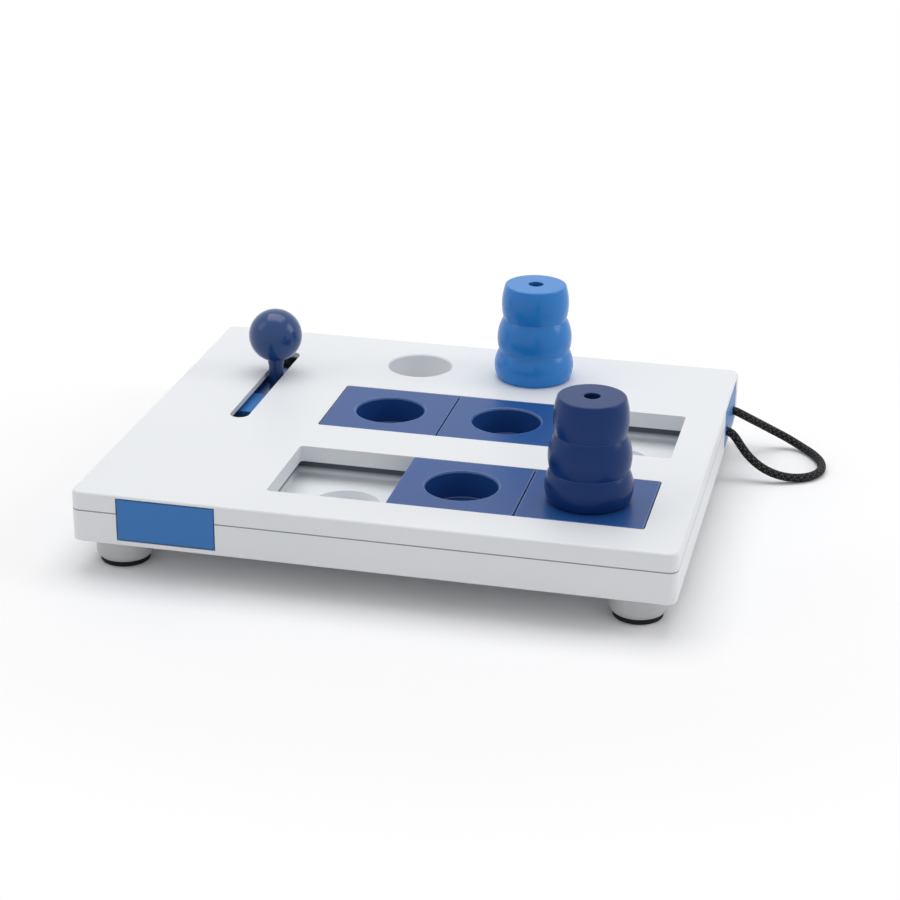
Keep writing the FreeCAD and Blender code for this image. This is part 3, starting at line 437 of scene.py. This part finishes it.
# Ring at arc length s, angle t: point = line(s) + (side cos t + up sin t) (radius - relief + relief * braid)
def makeRope():
    line = routePoints()
    steps = np.linalg.norm(np.diff(line, axis=0), axis=1)
    along = np.concatenate([[0.0], np.cumsum(steps)])
    count = int(along[-1] / millimetre * rope["ringsPerMillimetre"])
    arc = np.linspace(0.0, along[-1], count)
    centre = np.stack([np.interp(arc, along, line[:, axis]) for axis in range(3)], axis=1)
    tangent = np.gradient(centre, axis=0)
    tangent /= np.linalg.norm(tangent, axis=1)[:, None]
    side = np.cross(tangent, np.array(rope["ringStart"]))
    side /= np.linalg.norm(side, axis=1)[:, None]
    up = np.cross(side, tangent)
    angle = np.linspace(0.0, 2 * np.pi, rope["around"], endpoint=False)
    u = arc[:, None] / (rope["pitch"] * millimetre)
    height, carrier = braidHeight(u, angle[None] / (2 * np.pi), rope["carriers"])
    radius = (rope["diameter"] / 2 - rope["relief"] * (1 - height)) * millimetre
    spoke = side[:, None] * np.cos(angle)[None, :, None] + up[:, None] * np.sin(angle)[None, :, None]
    piece = ringSurface("pullRope", centre[:, None] + spoke * radius[..., None], "rope_black")
    paintTracerHighlights(piece, height, carrier)
    return piece, centre


knot = {
    "coils": 3.0,
    "coilDepth": 0.45,       # millimetres
    "tail": 0.12,            # the bare tail's share of the barrel's length
    "fullness": 0.5,         # the power of the sine: smaller is fuller
    "braidTurns": 2.0,
    "rings": 110,
}


# A barrel knot about X: radius = rope + swell * sin(pi s)^fullness, where s runs 0 to 1 past the tail,
# grooved by the cosine of its coils, less the valleys of the cord's braid
def makeKnot(name, end):
    low, high = (np.array(corner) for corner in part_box("rope_knots"))
    swell = (high[2] - low[2]) / 2 / millimetre - rope["diameter"] / 2
    t = np.linspace(0.0, 1.0, knot["rings"])[:, None]
    angle = np.linspace(0.0, 2 * np.pi, rope["around"], endpoint=False)[None]
    pastTail = np.clip(t * (1 + knot["tail"]) - knot["tail"], 0, 1)
    bulge = np.sin(np.pi * pastTail) ** knot["fullness"]
    groove = np.cos(2 * np.pi * knot["coils"] * t + angle)
    height, carrier = braidHeight(t * knot["braidTurns"], angle / (2 * np.pi), rope["carriers"])
    radius = rope["diameter"] / 2 + (swell - knot["coilDepth"]) * bulge
    radius = radius + knot["coilDepth"] * bulge * groove - rope["relief"] * (1 - height)
    x = low[0] + (high[0] - low[0]) * t + angle * 0
    y = end[1] + radius * millimetre * np.cos(angle)
    z = end[2] + radius * millimetre * np.sin(angle)
    piece = ringSurface(name, np.stack([x, y, z], axis=-1), "rope_black")
    paintTracerHighlights(piece, height, carrier)
    return piece


pullRope, ropeLine = makeRope()
knots = [makeKnot("frontKnot", ropeRoute[0]), makeKnot("backKnot", ropeRoute[-1])]
for piece in (pullRope, *knots):
    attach(piece, "rope_drawer_body")
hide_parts("pull_rope")
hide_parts("rope_knots")
print("rope and knots")

studio = {
    "floorSize": 8.0,
    "floorColor": (252, 252, 253),
    "floorRough": 0.9,
    "floorGloss": 0.1,
    "ambient": 0.52,         # the world's strength as light on the object
    "background": 1.0,       # and as it is seen, where 1 is white
    "whiteFrom": 0.14,       # metres from the middle, along Y, where the floor begins to show as white
    "whiteTo": 0.30,         # and where it is all white
    "depthRatio": 0.844,     # a distance along X counts this much, as the board's depth to its width
    # name: place, size, power
    "lamps": {
        "overheadSoftbox": ((-0.1, 0.35, 1.3), (1.3, 0.9), 9.0),
        "leftSoftbox": ((-1.1, -0.35, 0.9), (0.6, 0.8), 1.4),
        "rightSoftbox": ((1.2, 0.25, 0.7), (0.5, 0.7), 3.0),
    },
    "aim": (0.0, 0.0, 0.03),
    "overheadFrom": 0.95,    # the sine of the height angle from which a lamp counts as overhead
}


# 1 for a ray from the camera, from a gloss or through something clear, and 0 for light on the object
def seenDirectly(tree):
    path = addNode(tree, "ShaderNodeLightPath")
    both = addNode(tree, "ShaderNodeMath", operation="MAXIMUM")
    tree.links.new(path.outputs["Is Camera Ray"], both.inputs[0])
    tree.links.new(path.outputs["Is Glossy Ray"], both.inputs[1])
    every = addNode(tree, "ShaderNodeMath", operation="MAXIMUM")
    tree.links.new(both.outputs["Value"], every.inputs[0])
    tree.links.new(path.outputs["Is Transmission Ray"], every.inputs[1])
    return every.outputs["Value"]


# A pale floor that takes the shadow, and turns into plain white away from the object
def makeFloor():
    half = studio["floorSize"] / 2
    mesh = bpy.data.meshes.new("floor")
    corners = [(-half, -half, 0), (half, -half, 0), (half, half, 0), (-half, half, 0)]
    mesh.from_pydata(corners, [], [(0, 1, 2, 3)])
    material = bpy.data.materials.new("floor")
    material.use_nodes = True
    shader = material.node_tree.nodes["Principled BSDF"]
    shader.inputs["Base Color"].default_value = linear(*studio["floorColor"])
    shader.inputs["Roughness"].default_value = studio["floorRough"]
    shader.inputs["Specular IOR Level"].default_value = studio["floorGloss"]
    tree = material.node_tree
    join = tree.links.new
    place = addNode(tree, "ShaderNodeTexCoord")
    shares = (studio["depthRatio"], 1.0, 0.0)
    squeezed = addNode(tree, "ShaderNodeVectorMath", {1: shares}, operation="MULTIPLY")
    distance = addNode(tree, "ShaderNodeVectorMath", operation="LENGTH")
    away = addNode(tree, "ShaderNodeMapRange", {
        "From Min": studio["whiteFrom"], "From Max": studio["whiteTo"]}, interpolation_type="SMOOTHSTEP")
    share = addNode(tree, "ShaderNodeMath", operation="MULTIPLY")
    white = addNode(tree, "ShaderNodeEmission", {"Color": (1, 1, 1, 1), "Strength": studio["background"]})
    mixed = addNode(tree, "ShaderNodeMixShader")
    join(place.outputs["Object"], squeezed.inputs[0])
    join(squeezed.outputs["Vector"], distance.inputs[0])
    join(distance.outputs["Value"], away.inputs["Value"])
    join(away.outputs["Result"], share.inputs[0])
    join(seenDirectly(tree), share.inputs[1])
    join(share.outputs["Value"], mixed.inputs["Fac"])
    join(shader.outputs["BSDF"], mixed.inputs[1])
    join(white.outputs["Emission"], mixed.inputs[2])
    join(mixed.outputs["Shader"], tree.nodes["Material Output"].inputs["Surface"])
    mesh.materials.append(material)
    floor = bpy.data.objects.new("floor", mesh)
    bpy.context.scene.collection.objects.link(floor)


# White where the camera, a gloss or a see-through ray looks at it, softer as light on the object
def makeWorld():
    world = bpy.data.worlds.new("studio")
    bpy.context.scene.world = world
    world.use_nodes = True
    tree = world.node_tree
    join = tree.links.new
    sky = tree.nodes["Background"]
    sky.inputs["Color"].default_value = (1, 1, 1, 1)
    level = addNode(tree, "ShaderNodeMapRange", {"To Min": studio["ambient"], "To Max": studio["background"]})
    join(seenDirectly(tree), level.inputs["Value"])
    join(level.outputs["Result"], sky.inputs["Strength"])


# An area lamp whose own -Z looks at the aim; its sides are level, or along X for one overhead
def makeLamp(name, place, lampSize, power):
    lamp = bpy.data.lights.new(name, "AREA")
    lamp.shape = "RECTANGLE"
    lamp.size, lamp.size_y = lampSize
    lamp.energy = power
    holder = bpy.data.objects.new(name, lamp)
    bpy.context.scene.collection.objects.link(holder)
    back = np.array(place) - np.array(studio["aim"])
    back /= np.linalg.norm(back)
    reference = [0.0, 1.0, 0.0] if abs(back[2]) > studio["overheadFrom"] else [0.0, 0.0, 1.0]
    side = np.cross(reference, back)
    side /= np.linalg.norm(side)
    matrix = np.identity(4)
    matrix[:3, 0] = side
    matrix[:3, 1] = np.cross(back, side)
    matrix[:3, 2] = back
    matrix[:3, 3] = place
    holder.matrix_world = matrix.T.tolist()


makeFloor()
makeWorld()
for name, (place, lampSize, power) in studio["lamps"].items():
    makeLamp(name, place, lampSize, power)
print("studio")
